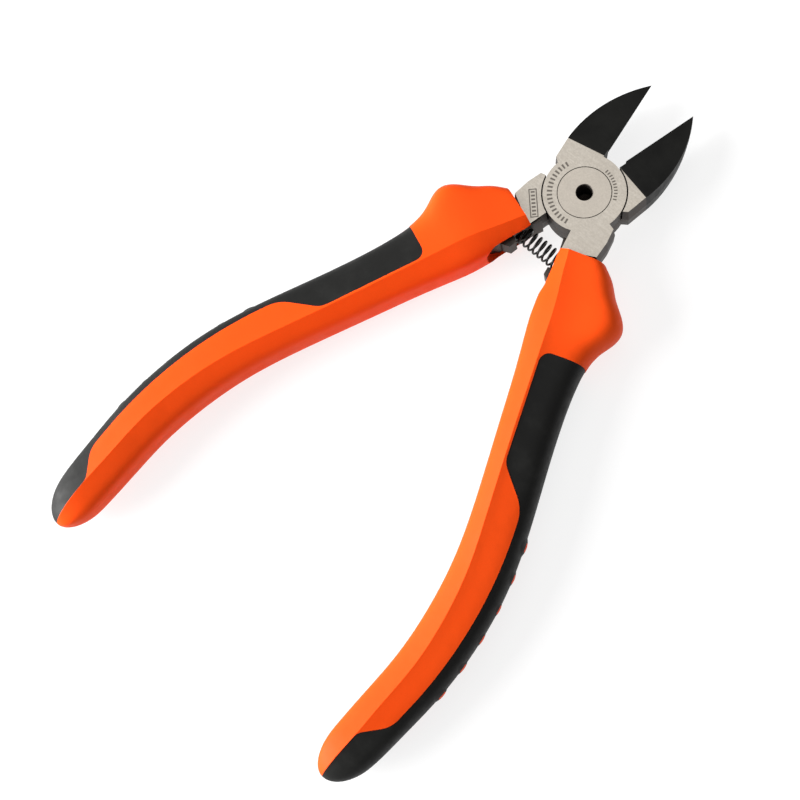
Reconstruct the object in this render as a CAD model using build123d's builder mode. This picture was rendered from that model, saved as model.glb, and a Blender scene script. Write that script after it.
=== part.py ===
"""Diagonal cutting pliers: lap-jointed levers, flush rivet, return spring, two-component grips.

Frame: origin on the pivot axis at mid thickness, +Y towards the jaws, +X to the right seen
from above, +Z up out of the face that carries the flush cutting plane. Drawn in the relaxed
position, each lever swung open by rest_angle from where the cutting edges meet. Millimetres.
Every lever shape is dimensioned in its own closed position, with the handle on the +X side;
the lever whose handle lies on -X is the mirror image of that plan.
"""
from build123d import *
import math
import os

os.makedirs("parts", exist_ok=True)

# ------------------------------------------------------------------ levers
rest_angle = 11.2        # each lever opens this far while the spring is relaxed, degrees
head_half = 4.0          # half the thickness of the forged head
lap_radius = 8.85        # half-thickness disc of each lever
lap_pocket = 9.15        # room the other lever leaves round that disc
lap_gap = 0.02           # each lap face stays this far from the middle plane
forging_draft = 4.0      # side faces lean in towards the ground faces, degrees

jaw_tip_y = 29.5         # tip of the cutting edge, from the pivot
jaw_belly = (-5.65, 22.2)   # middle point of the round outer side of the jaw
jaw_root = (-9.35, 10.2)    # where that round side meets the straight cheek
shoulder = (-9.55, 4.2)     # lower corner of the jaw cheek
shoulder_in = (-8.5, 3.1)   # its chamfer ends on the lap disc
heel_y = 11.1            # cutting edge runs from here to the tip
heel_relief = 0.35       # step behind the cutting edge
edge_gap = 0.02          # half of the light gap left between closed cutting edges
flush_start_y = 9.1      # the flush plane starts here at full head height
flush_angle = 11.0       # and falls towards the tip, degrees
belly_start_y = 13.0     # the back of the jaws starts to thin here
belly_angle = 6.0
bevel_angle = 27.0       # inner bevel under the cutting edge, from the vertical

tang_shoulder = (9.6, -4.15)   # upper outer corner of the tang
tang_front = (9.5, -11.6)      # outer side where the grip starts
tang_side = (9.85, -7.7)
tang_inner = (1.35, -9.0)      # inner side leaves the lap disc
tang_inner_end = (1.62, -13.9)

# ------------------------------------------------------------------ handle line
spine_start = (6.3, -12.5)   # front end of the grip on its centre line
spine_heading = 12.8         # outward lean of the straight stretch, degrees
spine_straight = 58.0
spine_radius = 90.0          # then one bend back inwards
spine_turn = 26.6
core_length = 100.0          # steel core inside the grip
core_half_width = 2.5
core_half_height = 2.3
cheek_width = 4.9            # beside the spring the core reaches this far inwards
cheek_end_width = 3.9        # and tapers to this at the end of the slot
cheek_half_height = 3.5
lug_face_x = 1.0             # stop lug reaches to this distance from the middle when closed

# ------------------------------------------------------------------ grip
# stations along the handle line: distance, width inwards, width outwards, half thickness,
# ridge offset, and how boxy the outer shoulder is (share of the half thickness kept)
grip_stations = [
    (0.0, 5.6, 5.7, 5.3, -2.8, 0.80),
    (2.5, 5.9, 7.2, 5.5, -2.6, 0.78),
    (6.5, 6.1, 9.3, 5.8, -2.4, 0.74),
    (10.3, 6.5, 11.75, 6.1, -2.1, 0.70),
    (12.9, 6.7, 12.5, 6.2, -2.0, 0.67),
    (15.3, 6.8, 11.65, 6.2, -2.0, 0.65),
    (18.0, 6.75, 9.6, 6.15, -2.1, 0.62),
    (21.5, 6.6, 7.9, 6.1, -2.2, 0.60),
    (27.0, 6.4, 6.8, 6.1, -2.3, 0.60),
    (36.0, 6.3, 6.2, 6.1, -2.5, 0.60),
    (47.0, 6.2, 6.15, 6.1, -2.6, 0.60),
    (58.0, 6.2, 6.25, 6.1, -2.6, 0.60),
    (70.0, 6.15, 6.45, 6.0, -2.1, 0.60),
    (82.0, 5.95, 6.45, 5.9, -1.5, 0.60),
    (94.0, 5.6, 6.35, 5.7, -1.0, 0.60),
    (104.0, 5.3, 6.2, 5.5, -0.7, 0.60),
]
flank_share = 0.58           # the inner flank turns to the facet at this share of the thickness
front_lean = 6.0             # the front end of the grip leans back on the outer side, degrees
grip_end_start = 111.0       # from here the end closes as half an ellipse
grip_length = 121.3
grip_end_inner, grip_end_outer, grip_end_half = 5.0, 6.05, 5.25

inlay_depth = 1.7            # thickness of the soft black inlay
inlay_sunk = 0.10            # it sits this little below the orange shell
strip_w = 3.7                # the inlay strip starts here, from the handle line
slot_length = 10.8           # open slot on the inner side at the front
slot_half = 3.7
slot_floor = 3.0             # its depth ends here, inwards from the handle line
slot_round = 2.8             # radius of its rear corners

pad_count = 6                # anti-slip swells of the inlay strip, each round a small hard pad
pad_first = 61.5
pad_pitch = 6.4
pad_length = 2.0
pad_height = 2.2
swell_radius = 4.5
swell_top = 6.62             # crown of a swell, from the handle line

# ------------------------------------------------------------------ rivet and spring
rivet_head_radius = 5.80
rivet_head_thick = 1.6
rivet_tail_radius = 4.80
rivet_shank_radius = 3.40
rivet_hole_radius = 1.75
rivet_hole_depth = 5.6
rivet_edge = 0.15            # small chamfer round the head and the hole
rivet_running = 0.04         # radial running clearance

spring_y = -15.2             # pocket centre, closed position
pocket_radius = 2.5
pocket_depth = 3.0
spring_outer = 4.2
spring_wire = 0.5
spring_line_y = -14.34       # where the relaxed spring lies across the gap
spring_half_length = 6.9
spring_turns = 12


# Working plane of the right lever; the left lever is built on the same plan and mirrored.
frame = Plane.XY.rotated((0, 0, rest_angle))


def handle(s, w):
    """Point of the lever plane s along the handle line and w outwards from it."""
    h = math.radians(spine_heading)
    x, y = spine_start
    if s <= spine_straight:
        x += s * math.sin(h)
        y -= s * math.cos(h)
    else:
        x += spine_straight * math.sin(h)
        y -= spine_straight * math.cos(h)
        turned = min((s - spine_straight) / spine_radius, math.radians(spine_turn))
        x += spine_radius * (math.cos(h - turned) - math.cos(h))
        y -= spine_radius * (math.sin(h) - math.sin(h - turned))
        h -= turned
        rest = s - spine_straight - spine_radius * turned
        x += rest * math.sin(h)
        y -= rest * math.cos(h)
    return (x + w * math.cos(h), y + w * math.sin(h)), h


def at(s, w):
    return handle(s, w)[0]


def section_plane(s, lean=0.0):
    """Plane across the handle line: local x outwards, local y up; lean turns it off square."""
    (x, y), h = handle(s, 0)
    h -= math.radians(lean)
    outwards = frame.x_dir * math.cos(h) + frame.y_dir * math.sin(h)
    return Plane(origin=frame.from_local_coords((x, y, 0)), x_dir=outwards,
                 z_dir=outwards.cross(Vector(0, 0, 1)))


# blind pocket for one end of the return spring
with BuildPart() as spring_pocket:
    mouth = frame.from_local_coords((0.5, spring_y, 0))
    with BuildSketch(Plane(origin=mouth, x_dir=frame.y_dir, z_dir=frame.x_dir)):
        Circle(pocket_radius)
    extrude(amount=1.0 + pocket_depth)


# ================================================================== levers
def lever(upper):
    """Forged lever with its handle on +X; its lap lies above or below the middle plane."""
    with BuildPart() as forging:
        # jaw with its cheek, drafted both ways from the parting plane
        with BuildSketch(frame):
            with BuildLine():
                ThreePointArc((0.35, jaw_tip_y + 0.25), jaw_belly, jaw_root)
                Polyline(jaw_root, shoulder, shoulder_in, (-5, -1), (3, 2),
                         (3, jaw_tip_y + 0.25), (0.35, jaw_tip_y + 0.25))
            make_face()
        extrude(amount=head_half, taper=forging_draft, both=True)
        # tang up to the front of the grip
        with BuildSketch(frame):
            with BuildLine():
                Polyline((5, 1), (0.6, -5), tang_inner, tang_inner_end, tang_front, tang_side,
                         tang_shoulder, (8.25, -3.5), (5, 1))
            make_face()
        extrude(amount=head_half, taper=forging_draft, both=True)
        # the tang ends in front of the grip
        with BuildSketch(frame):
            with BuildLine():
                lean = math.tan(math.radians(front_lean))
                Polyline(at(-9 * lean, -9), at(9 * lean, 9), at(9, 9), at(9, -9),
                         at(-9 * lean, -9))
            make_face()
        extrude(amount=9, both=True, mode=Mode.SUBTRACT)
        # cutting edge side of the jaw: contact line and the relief behind the heel
        with BuildSketch(frame):
            with BuildLine():
                Polyline((-edge_gap, 40), (-edge_gap, heel_y), (-heel_relief, heel_y - 0.3),
                         (-heel_relief, 2), (6, 2), (6, 40), (-edge_gap, 40))
            make_face()
        extrude(amount=9, both=True, mode=Mode.SUBTRACT)
        # room for the other lever's lap disc, then this lever's own disc
        with BuildSketch(frame.offset(-9 if upper else -lap_gap)):
            Circle(lap_pocket)
        extrude(amount=9 + lap_gap, mode=Mode.SUBTRACT)
        with BuildSketch(frame.offset(lap_gap if upper else -head_half)):
            Circle(lap_radius)
        extrude(amount=head_half - lap_gap)

        # steel core inside the grip
        with BuildSketch(frame):
            with BuildLine():
                near_end = core_length - 0.5
                Polyline(at(spine_straight, core_half_width), at(-3, core_half_width),
                         at(-3, -core_half_width), at(spine_straight, -core_half_width))
                ThreePointArc(at(spine_straight, -core_half_width), at(79, -core_half_width),
                              at(near_end, -core_half_width))
                Polyline(at(near_end, -core_half_width), at(core_length, -2),
                         at(core_length, 2), at(near_end, core_half_width))
                ThreePointArc(at(near_end, core_half_width), at(79, core_half_width),
                              at(spine_straight, core_half_width))
            make_face()
        extrude(amount=core_half_height, both=True)
        # thicker cheek towards the inside, for the spring pocket
        with BuildSketch(frame):
            with BuildLine():
                Polyline(at(-3, 2), at(-3, 0.1 - cheek_width), at(7.5, -cheek_width),
                         at(slot_length, -cheek_end_width), at(slot_length, 2), at(-3, 2))
            make_face()
        extrude(amount=cheek_half_height, both=True)
        # stop lug on the inner side, just behind the spring
        with BuildSketch(frame):
            with BuildLine():
                Polyline((3.4, -16.9), (lug_face_x, -17.6), (lug_face_x, -19.3),
                         (2.6, -20.3), (4.5, -20.3), (3.4, -16.9))
            make_face()
        extrude(amount=core_half_height, both=True)

        # flush plane on top of the jaws, thinning under them
        run = 24
        drop = run * math.tan(math.radians(flush_angle))
        rise = run * math.tan(math.radians(belly_angle))
        with BuildSketch(Plane(origin=frame.origin, x_dir=frame.y_dir, z_dir=frame.x_dir)):
            with BuildLine():
                Polyline((flush_start_y, head_half), (flush_start_y + run, head_half + 1),
                         (flush_start_y + run, head_half - drop), (flush_start_y, head_half))
            make_face()
            with BuildLine():
                Polyline((belly_start_y, -head_half), (belly_start_y + run, -head_half - 1),
                         (belly_start_y + run, rise - head_half), (belly_start_y, -head_half))
            make_face()
        extrude(amount=20, both=True, mode=Mode.SUBTRACT)
        # inner bevel that leaves a sharp edge on the flush plane
        fall = math.radians(flush_angle)
        edge_dir = frame.y_dir * math.cos(fall) - Vector(0, 0, 1) * math.sin(fall)
        heel_z = head_half - (heel_y - flush_start_y) * math.tan(fall)
        heel = frame.from_local_coords((0, heel_y, heel_z))
        reach = 9 * math.tan(math.radians(bevel_angle))
        with BuildSketch(Plane(origin=heel, x_dir=frame.x_dir, z_dir=edge_dir)):
            with BuildLine():
                Polyline((1, 0.12), (-edge_gap, 0.12), (-edge_gap - reach, 9.12), (1, 9.12),
                         (1, 0.12))
            make_face()
        extrude(amount=24, mode=Mode.SUBTRACT)

        # rivet bore with a recess for the rivet head or tail
        with BuildSketch(Plane.XY.offset(-head_half)):
            Circle(rivet_shank_radius + rivet_running)
        extrude(amount=2 * head_half, mode=Mode.SUBTRACT)
        with BuildSketch(Plane.XY.offset(head_half - rivet_head_thick if upper else -head_half)):
            Circle((rivet_head_radius if upper else rivet_tail_radius) + rivet_running)
        extrude(amount=rivet_head_thick, mode=Mode.SUBTRACT)
        add(spring_pocket.part, mode=Mode.SUBTRACT)
    return forging.part


with BuildPart() as upper_lever:
    add(lever(upper=True))

with BuildPart() as lower_lever:
    add(mirror(lever(upper=False), about=Plane.YZ))

# ================================================================== rivet
with BuildPart() as pivot_rivet:
    with BuildSketch(Plane.XZ):
        with BuildLine():
            hole_floor = head_half - rivet_hole_depth
            Polyline((0, -head_half), (rivet_tail_radius, -head_half),
                     (rivet_tail_radius, rivet_head_thick - head_half),
                     (rivet_shank_radius, rivet_head_thick - head_half),
                     (rivet_shank_radius, head_half - rivet_head_thick),
                     (rivet_head_radius, head_half - rivet_head_thick),
                     (rivet_head_radius, head_half - rivet_edge),
                     (rivet_head_radius - rivet_edge, head_half),
                     (rivet_hole_radius + rivet_edge, head_half),
                     (rivet_hole_radius, head_half - rivet_edge),
                     (rivet_hole_radius, hole_floor),
                     (0, hole_floor - 0.9), (0, -head_half))
        make_face()
    revolve(axis=Axis.Z)

# ================================================================== spring
with BuildPart() as return_spring:
    with BuildLine():
        coil = (spring_outer - spring_wire) / 2
        length = 2 * spring_half_length - spring_wire
        winding = Helix(pitch=length / spring_turns, height=length, radius=coil,
                        center=(-length / 2, spring_line_y, 0), direction=(1, 0, 0))
    with BuildSketch(Plane(origin=winding @ 0, z_dir=winding % 0)):
        Circle(spring_wire / 2)
    sweep(path=winding, is_frenet=True)


# ================================================================== grips
def grip_outline(inner, outer, half, ridge, boxy):
    """Closed section: a sharp ridge top and bottom, rounded flanks on both sides."""
    shoulder_z = boxy * half
    flank_z = flank_share * half
    out_mid = (outer - min(1.05, 0.2 * outer), shoulder_z)
    in_mid = (-inner + min(0.4, 0.08 * inner), flank_z)
    slope_out = Vector(out_mid[0] - ridge, shoulder_z - half + 0.25, 0)
    slope_in = Vector(ridge - in_mid[0], half - flank_z - 0.25, 0)
    up = Vector(0, 1, 0)
    flip = Vector(1, -1, 0)
    top, bottom = (ridge, half), (ridge, -half)
    Spline((-inner, 0), in_mid, top, tangents=(up, slope_in))
    Spline(top, out_mid, (outer, 0), tangents=(slope_out, -up))
    Spline((outer, 0), (out_mid[0], -shoulder_z), bottom,
           tangents=(-up, Vector(-slope_out.X, slope_out.Y, 0)))
    Spline(bottom, (in_mid[0], -flank_z), (-inner, 0),
           tangents=(Vector(-slope_in.X, slope_in.Y, 0), up))


def grip_body(inset):
    """The whole grip of the right handle, drawn smaller all round by inset."""
    stations = [(s, i - inset, o - inset, t - inset, r, b) for s, i, o, t, r, b in grip_stations]
    if inset < 1:
        closing = (0.0, 0.45, 0.7, 0.86, 0.96, 0.995)
    else:
        closing = (0.0, 0.4, 0.6, 0.75)
    span = grip_length - grip_end_start
    for share in closing:
        k = math.sqrt(1 - share ** 2)
        stations.append((grip_end_start + share * span,
                         grip_end_inner * k - inset, grip_end_outer * k - inset,
                         grip_end_half * k - inset, -0.3 * k, 0.60))
    with BuildPart() as body:
        for s, inner, outer, half, ridge, boxy in stations:
            with BuildSketch(section_plane(s, front_lean if s == 0 else 0)):
                with BuildLine():
                    grip_outline(inner, outer, half, ridge, boxy)
                make_face()
        loft()
    return body.part


whole = grip_body(0.0)
skin = grip_body(inlay_sunk)
floor = grip_body(inlay_depth)

# openings of the inlay for the pads, and the round swells they sit in
pad_places = [section_plane(pad_first + k * pad_pitch) for k in range(pad_count)]
with BuildPart() as pad_blocks:
    for place in pad_places:
        face = Plane(origin=place.origin + place.x_dir * strip_w, x_dir=place.y_dir,
                     z_dir=place.x_dir)
        with BuildSketch(face):
            RectangleRounded(pad_height, pad_length, 0.6)
        extrude(amount=4)

with BuildPart() as swells:
    for place in pad_places:
        with Locations(place.origin + place.x_dir * (swell_top - swell_radius)):
            Sphere(swell_radius)

# area of the inlay seen from above: front panel, strip along the outside, end cap
with BuildPart() as inlay_area:
    with BuildSketch(frame) as area:
        with BuildLine():
            Polyline(at(23.2, 16), at(22.3, -1.75), at(47.0, -2.15), at(55.0, strip_w),
                     at(spine_straight, strip_w))
            ThreePointArc(at(spine_straight, strip_w), at(79, strip_w),
                          at(99.78, strip_w))
            Polyline(at(99.78, strip_w), at(104.4, strip_w), at(109.8, -0.3),
                     at(123, 0), at(125, 16), at(90, 18), at(58, 18), at(23.2, 16))
        make_face()
        for s, w, r in ((22.3, -1.75, 2.3), (47.0, -2.15, 4.5), (55.0, strip_w, 8.0),
                        (104.4, strip_w, 6.0), (109.8, -0.3, 3.0)):
            corner = area.vertices().sort_by_distance((*at(s, w), 0))[0]
            fillet(corner, r)
    extrude(amount=12, both=True)

# slot on the inner side that leaves the spring cheek and the stop lug free
with BuildPart() as slot:
    front = section_plane(0)
    with BuildSketch(Plane(origin=front.origin - front.x_dir * slot_floor,
                           x_dir=front.z_dir, z_dir=-front.x_dir)):
        with Locations((slot_length / 2 - 3, 0)):
            RectangleRounded(slot_length + 6, 2 * slot_half, slot_round)
    extrude(amount=9)

with BuildPart() as soft_layer:
    add(skin)
    add(swells.part)
    add(inlay_area.part, mode=Mode.INTERSECT)

with BuildPart() as right_grip_inlay:
    add(soft_layer.part)
    add(floor, mode=Mode.SUBTRACT)
    add(pad_blocks.part, mode=Mode.SUBTRACT)

with BuildPart() as pads:
    add(soft_layer.part)
    add(pad_blocks.part, mode=Mode.INTERSECT)

with BuildPart() as right_grip_shell:
    add(whole)
    add(inlay_area.part, mode=Mode.SUBTRACT)
    add(floor)
    add(pads.part)
    add(slot.part, mode=Mode.SUBTRACT)
    add(spring_pocket.part, mode=Mode.SUBTRACT)
    add(upper_lever.part, mode=Mode.SUBTRACT)

with BuildPart() as left_grip_inlay:
    add(mirror(right_grip_inlay.part, about=Plane.YZ))

with BuildPart() as left_grip_shell:
    add(mirror(right_grip_shell.part, about=Plane.YZ))

# ------------------------------------------------------------------ export
nodes = {
    "upper_lever": upper_lever,
    "lower_lever": lower_lever,
    "pivot_rivet": pivot_rivet,
    "return_spring": return_spring,
    "right_grip_shell": right_grip_shell,
    "right_grip_inlay": right_grip_inlay,
    "left_grip_shell": left_grip_shell,
    "left_grip_inlay": left_grip_inlay,
}
for name, build in nodes.items():
    build.part.label = name
    export_step(build.part, f"parts/{name}.step")
    box = build.part.bounding_box()
    print(name, len(build.part.solids()), "solid(s), volume", round(build.part.volume, 1),
          "valid", build.part.is_valid, [round(v, 2) for v in (*box.min, *box.max)])
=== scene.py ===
"""Diagonal cutting pliers: surfaces, spring, floor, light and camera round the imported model."""
import math

import bmesh
import bpy
from mathutils import Matrix, Vector


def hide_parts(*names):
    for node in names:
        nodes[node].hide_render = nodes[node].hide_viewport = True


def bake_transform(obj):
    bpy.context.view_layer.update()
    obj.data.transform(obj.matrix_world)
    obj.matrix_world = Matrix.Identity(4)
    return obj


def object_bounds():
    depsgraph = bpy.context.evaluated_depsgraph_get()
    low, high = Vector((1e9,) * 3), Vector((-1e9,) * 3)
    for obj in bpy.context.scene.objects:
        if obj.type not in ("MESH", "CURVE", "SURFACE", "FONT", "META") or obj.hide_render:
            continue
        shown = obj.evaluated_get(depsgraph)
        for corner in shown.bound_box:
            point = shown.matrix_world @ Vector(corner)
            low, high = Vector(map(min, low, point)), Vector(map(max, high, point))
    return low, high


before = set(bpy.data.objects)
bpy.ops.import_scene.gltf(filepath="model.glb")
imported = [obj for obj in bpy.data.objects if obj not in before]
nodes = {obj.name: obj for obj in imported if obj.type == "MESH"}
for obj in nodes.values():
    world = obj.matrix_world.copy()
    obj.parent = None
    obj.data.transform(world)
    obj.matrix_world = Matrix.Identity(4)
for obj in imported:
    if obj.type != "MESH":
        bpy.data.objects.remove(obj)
cad_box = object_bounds()

MM = 0.001

# ------------------------------------------------------------------ sizes shared with the CAD
REST_ANGLE = 11.2                 # each lever is swung this far from closed, degrees
FLUSH_START = 9.1 * MM            # the flush plane begins here along the jaw
HEAD_HALF = 4.0 * MM              # half the thickness of the head
SPRING_LINE = -14.34 * MM         # where the spring lies across the gap
SPRING_HALF = 6.9 * MM
SPRING_COIL = 1.85 * MM           # radius of the wire's centre line
SPRING_WIRE = 0.25 * MM           # radius of the wire
SPRING_TURNS = 12
DEAD_TURNS = 1.4                  # closed turns at each end

# ------------------------------------------------------------------ stage
FLOOR_SIZE = 30.0                 # metres, so that low views show no horizon
FLOOR_GAP = 0.0001                # the floor lies this far under the part
WORLD_STRENGTH = 0.30
MIDDLE = (0.0, -0.05, 0.0)        # the lights aim here
CAMERA_AT = Vector((80.43, -85.80, 310.46)) * MM
CAMERA_RIGHT = Vector((0.73637, 0.66303, -0.13470))
CAMERA_UP = Vector((-0.62765, 0.74378, 0.22990))
CAMERA_LENS = 68.85               # millimetres, on a sensor 36 wide
SENSOR_WIDTH = 36

# ------------------------------------------------------------------ colours used more than once
WORN_GROUND = (0.42, 0.38, 0.33, 1)


# ------------------------------------------------------------------ node helpers
class Shader:
    """A material being built: its methods add nodes and return an output of the last one."""

    def __init__(self, name):
        self.material = bpy.data.materials.new(name)
        self.material.use_nodes = True
        self.tree = self.material.node_tree
        self.surface = self.tree.nodes["Principled BSDF"]
        self.place = self.add("ShaderNodeTexCoord").outputs["Object"]

    def add(self, kind, **settings):
        node = self.tree.nodes.new(kind)
        for key, value in settings.items():
            setattr(node, key, value)
        return node

    def feed(self, socket, value):
        if isinstance(value, bpy.types.NodeSocket):
            self.tree.links.new(value, socket)
        else:
            socket.default_value = value

    def math(self, operation, a, b=0.0):
        node = self.add("ShaderNodeMath", operation=operation)
        self.feed(node.inputs[0], a)
        self.feed(node.inputs[1], b)
        return node.outputs[0]

    def product(self, a, b):
        return self.math("MULTIPLY", a, b)

    def turned(self, degrees, scale=(1, 1, 1)):
        """Place in the object, turned about Z and stretched."""
        node = self.add("ShaderNodeMapping")
        self.feed(node.inputs["Vector"], self.place)
        node.inputs["Rotation"].default_value = (0, 0, math.radians(degrees))
        node.inputs["Scale"].default_value = scale
        return node.outputs[0]

    def axes(self, vector):
        node = self.add("ShaderNodeSeparateXYZ")
        self.feed(node.inputs[0], vector)
        return node.outputs

    def off_axis(self, x, y):
        """Distance from the pivot axis."""
        return self.math("SQRT", self.math("ADD", self.product(x, x), self.product(y, y)))

    def slope(self):
        """1 where the surface faces straight up or down, 0 where it stands upright."""
        normal = self.add("ShaderNodeNewGeometry").outputs["True Normal"]
        return self.math("ABSOLUTE", self.axes(normal)[2])

    def noise(self, scale, detail=3.0, roughness=0.55, vector=None):
        node = self.add("ShaderNodeTexNoise")
        self.feed(node.inputs["Vector"], vector or self.place)
        node.inputs["Scale"].default_value = scale
        node.inputs["Detail"].default_value = detail
        node.inputs["Roughness"].default_value = roughness
        return node.outputs["Fac"]

    def ramp(self, value, low, high, out_low=0.0, out_high=1.0, smooth=True):
        """The range low to high of value, carried over to out_low to out_high."""
        node = self.add("ShaderNodeMapRange")
        node.interpolation_type = "SMOOTHSTEP" if smooth else "LINEAR"
        self.feed(node.inputs["Value"], value)
        for key, number in (("From Min", low), ("From Max", high),
                            ("To Min", out_low), ("To Max", out_high)):
            self.feed(node.inputs[key], number)
        return node.outputs["Result"]

    def mix(self, share, first, second):
        node = self.add("ShaderNodeMix", data_type="RGBA")
        self.feed(node.inputs[0], share)
        self.feed(node.inputs[6], first)
        self.feed(node.inputs[7], second)
        return node.outputs[2]

    def mix_value(self, share, first, second):
        node = self.add("ShaderNodeMix", data_type="FLOAT")
        self.feed(node.inputs[0], share)
        self.feed(node.inputs[2], first)
        self.feed(node.inputs[3], second)
        return node.outputs[0]

    def bump(self, height, distance, strength=1.0, after=None):
        node = self.add("ShaderNodeBump")
        self.feed(node.inputs["Height"], height)
        node.inputs["Distance"].default_value = distance
        node.inputs["Strength"].default_value = strength
        if after is not None:
            self.feed(node.inputs["Normal"], after)
        return node.outputs[0]

    def finish(self, **sockets):
        """Set or link the named sockets of the surface, and hand back the material."""
        for key, value in sockets.items():
            self.feed(self.surface.inputs[key.replace("_", " ")], value)
        return self.material


# ------------------------------------------------------------------ materials
def moulded_orange():
    """Hard injection-moulded plastic: satin, with handling scuffs and a parting line."""
    s = Shader("moulded_orange")
    cloud = s.noise(70, 2)
    colour = s.mix(cloud, (0.84, 0.068, 0.0050, 1), (0.88, 0.078, 0.0062, 1))
    scuff = s.ramp(s.noise(900, 5, 0.7, s.turned(20, (1, 0.12, 1))), 0.64, 0.78)
    colour = s.mix(s.product(scuff, 0.12), colour, (0.90, 0.13, 0.02, 1))
    speck = s.ramp(s.noise(2600, 2), 0.35, 0.65, 0.0, 0.06)
    colour = s.mix(speck, colour, (0.55, 0.06, 0.005, 1))
    rough = s.math("ADD", s.ramp(s.noise(260, 4), 0.3, 0.7, 0.46, 0.56), s.product(scuff, 0.12))
    line = s.ramp(s.math("ABSOLUTE", s.axes(s.place)[2]), 0.04 * MM, 0.12 * MM, 1.0, 0.0)
    fine = s.bump(s.noise(4200, 2), 0.02 * MM, 0.5)
    wavy = s.bump(s.noise(220, 2), 0.25 * MM, 0.2, fine)
    seam = s.bump(line, 0.08 * MM, 0.6, wavy)
    return s.finish(Base_Color=colour, Roughness=rough, Normal=seam, Specular_IOR_Level=0.07)


def soft_black():
    """Soft rubber-like inlay: matte, fine-grained, with paler rubbed patches."""
    s = Shader("soft_black")
    rub = s.ramp(s.noise(120, 4, 0.6), 0.45, 0.8)
    colour = s.mix(rub, (0.008, 0.008, 0.0075, 1), (0.017, 0.017, 0.016, 1))
    rough = s.ramp(s.noise(500, 3), 0.3, 0.7, 0.50, 0.62)
    grain = s.bump(s.noise(5200, 2), 0.03 * MM, 0.7)
    return s.finish(Base_Color=colour, Roughness=rough, Normal=grain, Specular_IOR_Level=0.16)


def between(s, value, low, high, soft):
    """1 where value lies between low and high, with edges as wide as soft."""
    return s.product(s.ramp(value, low - soft, low, 0.0, 1.0),
                     s.ramp(value, high, high + soft, 1.0, 0.0))


def graduation(s, swing, centre, reach, radius, length, pitch):
    """A ring of plain short strokes about the pivot, reach degrees either side of centre."""
    x, y, _ = s.axes(s.turned(-swing - centre))
    angle = s.math("ARCTAN2", y, x)
    always_positive = s.math("ADD", angle, 10.0)
    teeth = s.math("FRACT", s.math("DIVIDE", always_positive, math.radians(pitch)))
    stroke = between(s, teeth, 0.25, 0.62, 0.08)
    band = between(s, s.off_axis(x, y), radius, radius + length, 0.08 * MM)
    sector = s.ramp(s.math("ABSOLUTE", angle),
                    math.radians(reach), math.radians(reach + 1), 1.0, 0.0)
    return s.product(s.product(stroke, band), sector)


def framed_bars(s, swing, centre, lean, half_width, half_height, line, pitch):
    """A plain rectangular frame, its long side leaning from +X, with a row of bars inside it."""
    x, y, _ = s.axes(s.turned(-swing - lean))
    turn = Matrix.Rotation(math.radians(-lean), 2)
    middle_x, middle_y = turn @ Vector(centre)
    along = s.math("SUBTRACT", x, middle_x)
    wide = s.math("ABSOLUTE", along)
    tall = s.math("ABSOLUTE", s.math("SUBTRACT", y, middle_y))
    soft = 0.06 * MM

    def box(half_x, half_y):
        return s.product(s.ramp(wide, half_x, half_x + soft, 1.0, 0.0),
                         s.ramp(tall, half_y, half_y + soft, 1.0, 0.0))

    frame_line = s.math("SUBTRACT", box(half_width, half_height),
                        box(half_width - line, half_height - line))
    teeth = s.math("FRACT", s.math("DIVIDE", s.math("ADD", along, 1.0), pitch))
    bars = s.product(between(s, teeth, 0.3, 0.7, 0.1),
                     box(half_width - 2.2 * line, half_height - 1.9 * line))
    return s.math("MAXIMUM", frame_line, bars)


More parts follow.
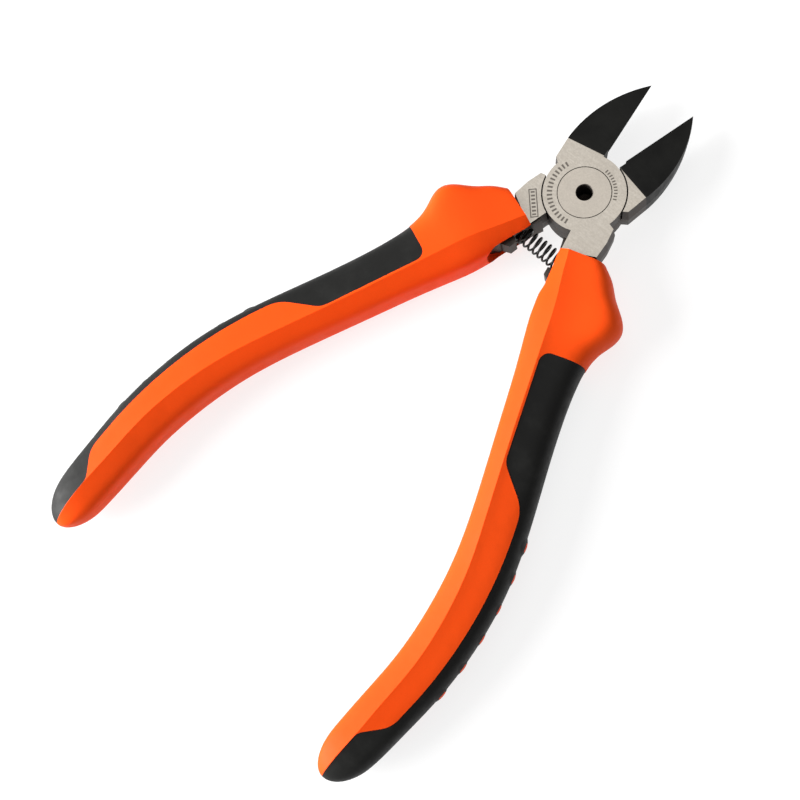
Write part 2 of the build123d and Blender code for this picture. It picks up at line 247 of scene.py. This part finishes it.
def lever_steel(name, swing, marks):
    """Ground faces, dark forged sides and the blackened jaw, told apart by place and slope."""
    s = Shader(name)
    _, y, z = s.axes(s.turned(-swing))             # back in the lever's own direction
    level = s.ramp(s.slope(), 0.93, 0.96, smooth=False)
    outside = s.ramp(s.math("ABSOLUTE", z), HEAD_HALF - 0.12 * MM, HEAD_HALF - 0.06 * MM)
    flat = s.product(level, outside)               # only the ground outer faces are bright
    jaw = s.ramp(y, FLUSH_START, FLUSH_START + 0.10 * MM)
    lines = s.noise(2200, 5, 0.65, s.turned(-swing + 38, (0.16, 1, 1)))
    grain = s.noise(2600, 3, 0.6)
    blotch = s.noise(160, 4, 0.6)
    ground = s.mix(s.ramp(lines, 0.3, 0.7), (0.52, 0.475, 0.41, 1), (0.64, 0.59, 0.52, 1))
    ground = s.mix(s.ramp(grain, 0.3, 0.7, 0.0, 0.5), ground, WORN_GROUND)
    ground = s.mix(s.ramp(blotch, 0.35, 0.7, 0.0, 0.25), ground, WORN_GROUND)
    front = s.ramp(z, 0.0, HEAD_HALF, 0.0, 0.80)   # the marks are on the front only
    ground = s.mix(s.product(marks(s, swing), front), ground, (0.07, 0.060, 0.052, 1))
    scale = s.noise(620, 6, 0.65)
    forged = s.mix(s.ramp(scale, 0.3, 0.75), (0.030, 0.025, 0.022, 1), (0.100, 0.086, 0.077, 1))
    black = s.mix(s.ramp(blotch, 0.3, 0.7), (0.006, 0.006, 0.0055, 1), (0.010, 0.010, 0.009, 1))
    streaks = s.noise(700, 5, 0.7, s.turned(-swing + 70, (0.2, 1, 1)))
    black = s.mix(s.ramp(streaks, 0.62, 0.8, 0.0, 0.2), black, (0.03, 0.03, 0.028, 1))
    colour = s.mix(flat, forged, ground)
    colour = s.mix(jaw, colour, black)
    rough = s.mix_value(flat, s.ramp(scale, 0.3, 0.7, 0.45, 0.62),
                        s.ramp(lines, 0.3, 0.7, 0.38, 0.43))
    rough = s.mix_value(jaw, rough, s.ramp(scale, 0.3, 0.7, 0.42, 0.54))
    metal = s.math("SUBTRACT", 1.0, jaw)           # the blackened jaw does not shine as metal
    fine = s.bump(s.product(grain, flat), 0.02 * MM, 0.35)
    coarse = s.bump(s.product(scale, s.math("SUBTRACT", 1.0, flat)), 0.1 * MM, 0.4, fine)
    return s.finish(Base_Color=colour, Roughness=rough, Metallic=metal, Normal=coarse,
                    Specular_IOR_Level=0.14)


def head_marks(s, swing):
    """Two rings of strokes round the rivet, a long one and a short one."""
    left = graduation(s, swing, centre=208, reach=64, radius=6.85 * MM, length=1.05 * MM, pitch=7.0)
    right = graduation(s, swing, centre=44, reach=34, radius=6.2 * MM, length=0.7 * MM, pitch=6.0)
    return s.math("MAXIMUM", left, right)


def tang_marks(s, swing):
    """A frame of bars along the tang."""
    return framed_bars(s, swing, centre=(-4.98 * MM, -9.74 * MM), lean=-34, half_width=3.2 * MM,
                       half_height=0.85 * MM, line=0.24 * MM, pitch=0.85 * MM)


def rivet_steel():
    """Turned face of the rivet, with painted shade on the chamfers and painted shade inside the
    hole.
    """
    s = Shader("rivet_steel")
    x, y, z = s.axes(s.place)
    outward = s.add("ShaderNodeCombineXYZ")
    s.feed(outward.inputs[0], s.product(s.off_axis(x, y), 5200.0))
    rings = s.noise(1.0, 3, 0.6, outward.outputs[0])
    # painted shade: faces tilted away from level (the chamfers) are coloured dark; they are also
    # made rougher
    chamfer_painted_shade_mask = s.ramp(s.slope(), 0.8, 0.97, 1.0, 0.0)
    grain = s.noise(2600, 3, 0.6)
    blotch = s.noise(260, 4, 0.6)
    colour = s.mix(s.ramp(rings, 0.3, 0.7), (0.50, 0.45, 0.39, 1), (0.58, 0.53, 0.46, 1))
    colour = s.mix(s.ramp(grain, 0.35, 0.7, 0.0, 0.35), colour, (0.40, 0.36, 0.31, 1))
    colour = s.mix(s.ramp(blotch, 0.4, 0.7, 0.0, 0.3), colour, (0.43, 0.39, 0.34, 1))
    # painted shade: the hole's wall and bottom are coloured near black, deeper than the face
    hole_painted_shade = s.ramp(s.math("ABSOLUTE", z), HEAD_HALF - 0.5 * MM, HEAD_HALF - 0.16 * MM, 1.0, 0.0)
    colour = s.mix(hole_painted_shade, colour, (0.02, 0.012, 0.010, 1))
    colour = s.mix(chamfer_painted_shade_mask, colour, (0.10, 0.088, 0.078, 1))
    rough = s.mix_value(chamfer_painted_shade_mask, s.ramp(rings, 0.3, 0.7, 0.34, 0.44), 0.6)
    return s.finish(Base_Color=colour, Roughness=rough, Metallic=1.0,
                    Normal=s.bump(rings, 0.02 * MM, 0.3))


def spring_black():
    """Blackened spring wire, worn a little brighter where the coils rub."""
    s = Shader("spring_black")
    worn = s.ramp(s.noise(1500, 4, 0.6), 0.5, 0.75)
    colour = s.mix(worn, (0.016, 0.016, 0.016, 1), (0.06, 0.058, 0.055, 1))
    rough = s.ramp(s.noise(2600, 3), 0.3, 0.7, 0.28, 0.42)
    return s.finish(Base_Color=colour, Roughness=rough, Metallic=0.8)


def pale_floor():
    """White light table: it glows from inside, so shadows stay faint."""
    s = Shader("pale_floor")
    tone = s.mix(s.noise(6, 3), (0.25, 0.25, 0.25, 1), (0.28, 0.28, 0.28, 1))
    return s.finish(Base_Color=tone, Roughness=s.ramp(s.noise(40, 3), 0.3, 0.7, 0.7, 0.8),
                    Specular_IOR_Level=0.1, Emission_Color=(1, 1, 1, 1), Emission_Strength=0.80)


orange, rubber = moulded_orange(), soft_black()
looks = {
    "upper_lever": lever_steel("upper_lever_steel", REST_ANGLE, head_marks),
    "lower_lever": lever_steel("lower_lever_steel", -REST_ANGLE, tang_marks),
    "pivot_rivet": rivet_steel(),
    "right_grip_shell": orange,
    "left_grip_shell": orange,
    "right_grip_inlay": rubber,
    "left_grip_inlay": rubber,
}
for name, material in looks.items():
    mesh = nodes[name].data
    mesh.materials.clear()
    mesh.materials.append(material)


# ------------------------------------------------------------------ return spring
def wire_coil(name, half_length, coil, wire, turns, dead):
    """Coil spring along X with closed end turns, as one swept tube."""
    around, per_turn = 10, 30                      # corners of the tube, and rings to a turn
    steps = turns * per_turn
    live = turns - 2 * dead
    tight = 2.15 * wire                            # pitch of the closed end turns
    pitch = (2 * (half_length - wire) - 2 * dead * tight) / live
    mesh = bpy.data.meshes.new(name)
    tube = bmesh.new()
    rings = []
    for i in range(steps + 1):
        turn = i / per_turn
        x = (tight * min(turn, dead) + pitch * min(max(turn - dead, 0), live)
             + tight * max(turn - turns + dead, 0))
        angle = 2 * math.pi * turn
        out = Vector((0, math.cos(angle), math.sin(angle)))
        centre = Vector((x - half_length + wire, 0, 0)) + coil * out
        ring = []
        for k in range(around):
            a = 2 * math.pi * k / around
            spoke = math.cos(a) * out + math.sin(a) * Vector((1, 0, 0))
            ring.append(tube.verts.new(centre + wire * spoke))
        rings.append(ring)
    for first, second in zip(rings, rings[1:]):
        for k in range(around):
            j = (k + 1) % around
            tube.faces.new((first[k], second[k], second[j], first[j]))
    tube.faces.new(rings[0])
    tube.faces.new(rings[-1][::-1])
    bmesh.ops.recalc_face_normals(tube, faces=tube.faces)
    tube.to_mesh(mesh)
    tube.free()
    for face in mesh.polygons:
        face.use_smooth = True
    piece = bpy.data.objects.new(name, mesh)
    bpy.context.scene.collection.objects.link(piece)
    return piece


spring = wire_coil("spring_coil", SPRING_HALF, SPRING_COIL, SPRING_WIRE, SPRING_TURNS, DEAD_TURNS)
spring.location = (0, SPRING_LINE, 0)
spring.data.materials.append(spring_black())
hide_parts("return_spring")
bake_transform(spring)

# ------------------------------------------------------------------ floor, light, camera
underside = cad_box[0].z
bpy.ops.mesh.primitive_plane_add(size=FLOOR_SIZE, location=(0, MIDDLE[1], underside - FLOOR_GAP))
floor = bpy.context.object
floor.name = "floor"
floor.data.materials.append(pale_floor())

scene = bpy.context.scene
scene.view_settings.view_transform = "Standard"
scene.view_settings.look = "None"
scene.view_settings.exposure = 0.0
world = bpy.data.worlds.new("studio")
world.use_nodes = True
background = world.node_tree.nodes["Background"]
background.inputs["Color"].default_value = (1, 1, 1, 1)
background.inputs["Strength"].default_value = WORLD_STRENGTH
scene.world = world


def soft_light(name, place, size, power):
    """A round soft light at place, aimed at the middle of the part."""
    data = bpy.data.lights.new(name, "AREA")
    data.shape = "DISK"
    data.size = size
    data.energy = power
    lamp = bpy.data.objects.new(name, data)
    scene.collection.objects.link(lamp)
    lamp.location = place
    lamp.rotation_euler = (Vector(MIDDLE) - Vector(place)).to_track_quat("-Z", "Y").to_euler()


soft_light("key_light", (-0.80, -0.85, 0.38), size=1.2, power=58.0)
soft_light("fill_light", (-0.29, 0.26, 1.12), size=0.9, power=2.3)

lens = bpy.data.cameras.new("camera")
lens.sensor_width = SENSOR_WIDTH
lens.lens = CAMERA_LENS
lens.clip_start = 0.01
lens.clip_end = 2 * FLOOR_SIZE
camera = bpy.data.objects.new("camera", lens)
scene.collection.objects.link(camera)
turn = Matrix((CAMERA_RIGHT, CAMERA_UP, CAMERA_RIGHT.cross(CAMERA_UP))).transposed()
camera.matrix_world = Matrix.Translation(CAMERA_AT) @ turn.to_4x4()
scene.camera = camera
